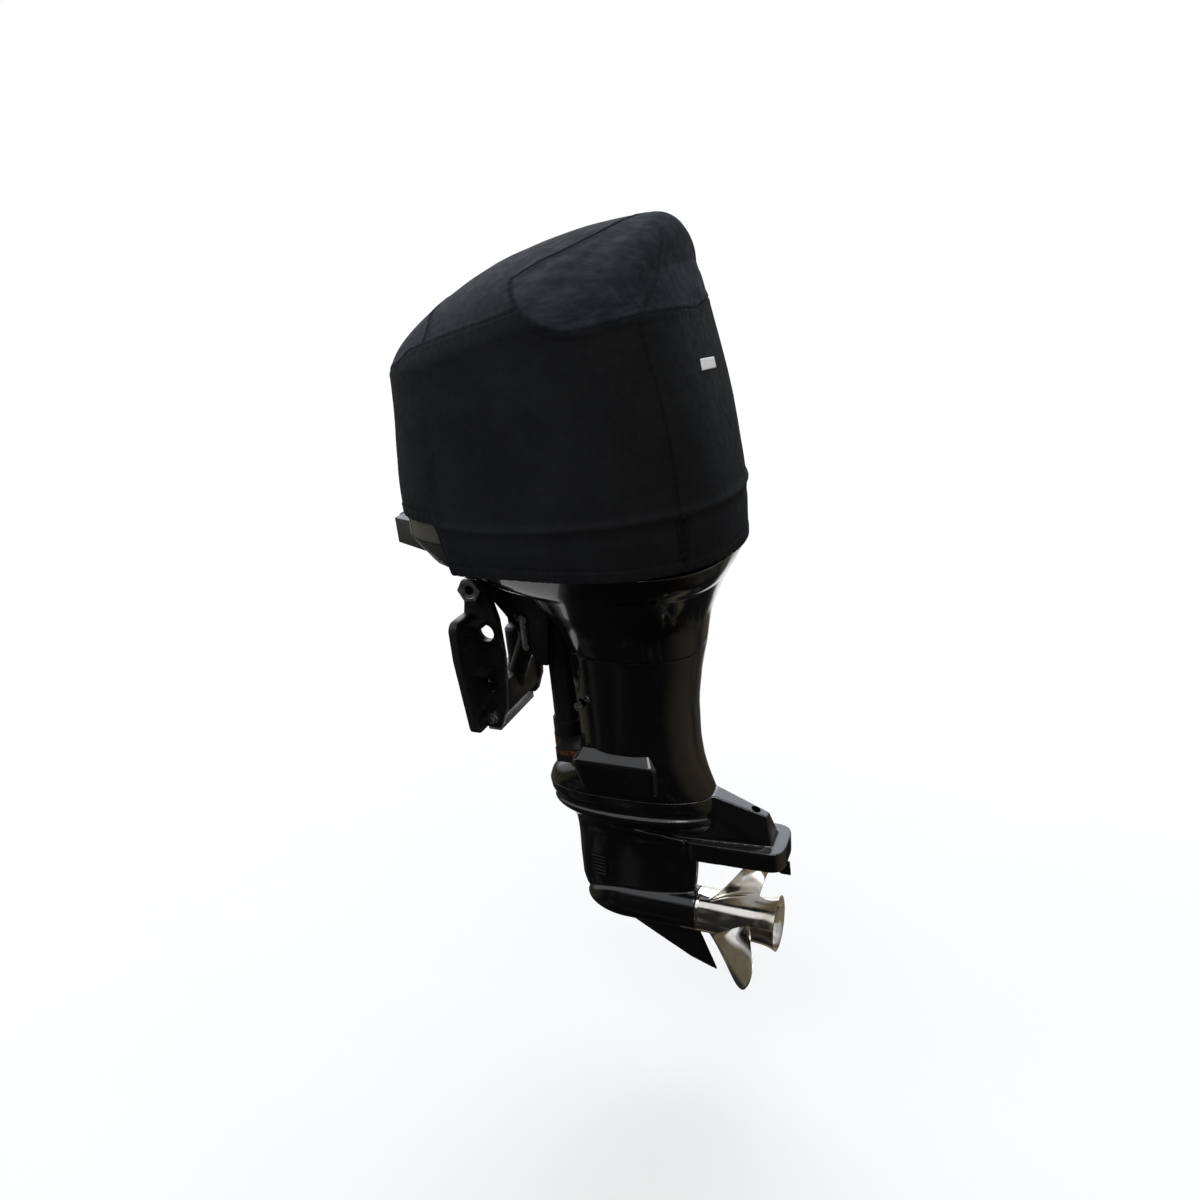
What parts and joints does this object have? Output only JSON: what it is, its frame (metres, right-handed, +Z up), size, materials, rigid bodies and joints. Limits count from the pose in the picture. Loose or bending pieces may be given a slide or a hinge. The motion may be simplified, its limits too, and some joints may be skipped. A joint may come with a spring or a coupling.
{
  "type": "outboard motor",
  "caption": "Large outboard motor with transom bracket, power tilt, steering swivel, long leg, gearcase, polished propeller and a fitted black cloth cover over its cowling.",
  "frame": {"origin": "midway between the two upper transom bolt holes, on the face that meets the transom", "axes": "+X forward towards the boat, +Y to port, +Z up"},
  "size_m": [0.944, 0.6, 1.8511],
  "materials": {
    "black_casting": "satin black paint on cast aluminium",
    "gloss_black": "gloss black paint on cast aluminium",
    "gloss_black_moulding": "gloss black moulding",
    "satin_black_moulding": "satin black moulding",
    "trim_motor_black": "satin black paint",
    "reservoir_plastic": "matte black moulding",
    "cowl_grey": "dark grey gloss moulding",
    "cover_fabric": "black woven cover cloth",
    "zinc": "dull cast anode metal",
    "bright_steel": "plain stainless steel",
    "tube_steel": "turned steel",
    "ram_chrome": "ground and plated",
    "gear_steel": "ground gear steel",
    "bush_plastic": "plain bearing plastic",
    "black_rubber": "matte",
    "cast_aluminium": "as cast",
    "starter_black": "satin black paint",
    "exhaust_steel": "heat stained",
    "brass_tube": "drawn tube",
    "screen_plastic": "matte black moulding",
    "flywheel_iron": "machined",
    "polished_stainless": "polished stainless steel"
  },
  "bodies": {
    "clamp": {"clamp_bracket_port": "black_casting", "clamp_bracket_starboard": "black_casting", "tilt_tube": "tube_steel", "tilt_tube_nuts": "bright_steel", "bracket_tie_bolt": "bright_steel", "tilt_cylinder": "black_casting", "trim_pump_block": "black_casting", "trim_pump_motor": "trim_motor_black", "trim_fluid_reservoir": "reservoir_plastic", "bracket_anode": "zinc"},
    "swivel": {"swivel_bracket": "black_casting", "swivel_bushes": "bush_plastic"},
    "ram_rod": {"tilt_ram_rod": "ram_chrome", "tilt_ram_pin": "bright_steel"},
    "lock_lever": {"tilt_lock_lever": "bright_steel"},
    "driveline": {"flywheel": "flywheel_iron", "crankshaft": "tube_steel", "drive_shaft": "tube_steel", "pinion_gear": "gear_steel", "pump_impeller": "black_rubber"},
    "propeller": {"rear_gear": "gear_steel", "propeller_shaft": "tube_steel", "dog_clutch": "gear_steel", "propeller": "polished_stainless", "propeller_nut": "polished_stainless"},
    "front_gear": {"front_gear": "gear_steel"},
    "trim_tab": {"trim_tab": "zinc"},
    "cowl": {"top_cowl": "cowl_grey"},
    "cover": {"fabric_cover": "cover_fabric"},
    "motor": {"steering_shaft": "tube_steel", "steering_arm": "black_casting", "lower_yoke": "black_casting", "rubber_mounts": "black_rubber", "engine_mount_plate": "cast_aluminium", "leg_housing": "gloss_black", "upper_apron": "gloss_black_moulding", "lower_mount_covers": "gloss_black", "bottom_cowl": "satin_black_moulding", "cowl_seal": "black_rubber", "rigging_grommet": "black_rubber", "engine_block": "cast_aluminium", "cylinder_head_port": "cast_aluminium", "cylinder_head_starboard": "cast_aluminium", "intake_plenum": "satin_black_moulding", "starter_motor": "starter_black", "oil_filter": "starter_black", "control_box": "satin_black_moulding", "oil_pan": "cast_aluminium", "exhaust_pipe": "exhaust_steel", "water_tube": "brass_tube", "shift_rod": "tube_steel", "gearcase": "gloss_black", "gearcase_studs": "bright_steel", "trim_tab_bolt": "bright_steel", "bearing_carrier": "cast_aluminium", "water_inlet_screens": "screen_plastic", "water_pump_housing": "cast_aluminium", "flush_plug": "bright_steel"}
  },
  "joints": [
    {"name": "tilt", "type": "hinge", "parent": "clamp", "child": "swivel", "pos_m": [-0.035, 0, 0.133], "axis": [0, 1, 0], "range_deg": [-4, 62]},
    {"name": "ram_slide", "type": "slide", "parent": "clamp", "child": "ram_rod", "axis": [-0.3785, 0, 0.9256], "range_m": [-0.011, 0.151]},
    {"name": "lock_lever_swing", "type": "hinge", "parent": "swivel", "child": "lock_lever", "pos_m": [-0.129, 0.0645, 0.041], "axis": [0, -1, 0], "range_deg": [0, 75]},
    {"name": "steer", "type": "hinge", "parent": "swivel", "child": "motor", "pos_m": [-0.187, 0, 0], "axis": [0, 0, 1], "range_deg": [-30, 30]},
    {"name": "drive_spin", "type": "hinge", "parent": "motor", "child": "driveline", "pos_m": [-0.275, 0, 0], "axis": [0, 0, 1], "continuous": true},
    {"name": "propeller_spin", "type": "hinge", "parent": "motor", "child": "propeller", "pos_m": [-0.275, 0, -0.765], "axis": [1, 0, 0], "continuous": true},
    {"name": "front_gear_spin", "type": "hinge", "parent": "motor", "child": "front_gear", "pos_m": [-0.275, 0, -0.765], "axis": [1, 0, 0], "continuous": true},
    {"name": "trim_tab_set", "type": "hinge", "parent": "motor", "child": "trim_tab", "pos_m": [-0.659, 0, -0.53], "axis": [0, 0, 1], "range_deg": [-15, 15]},
    {"name": "cowl_lift", "type": "slide", "parent": "motor", "child": "cowl", "axis": [0, 0, 1], "range_m": [0, 0.75]},
    {"name": "cover_lift", "type": "slide", "parent": "cowl", "child": "cover", "axis": [0, 0, 1], "range_m": [0, 0.75]}
  ],
  "couplings": [
    {"joint": "ram_slide", "follows": "tilt", "m_per_rad": 0.138},
    {"joint": "propeller_spin", "follows": "drive_spin", "ratio": 0.57143},
    {"joint": "front_gear_spin", "follows": "drive_spin", "ratio": -0.57143}
  ]
}
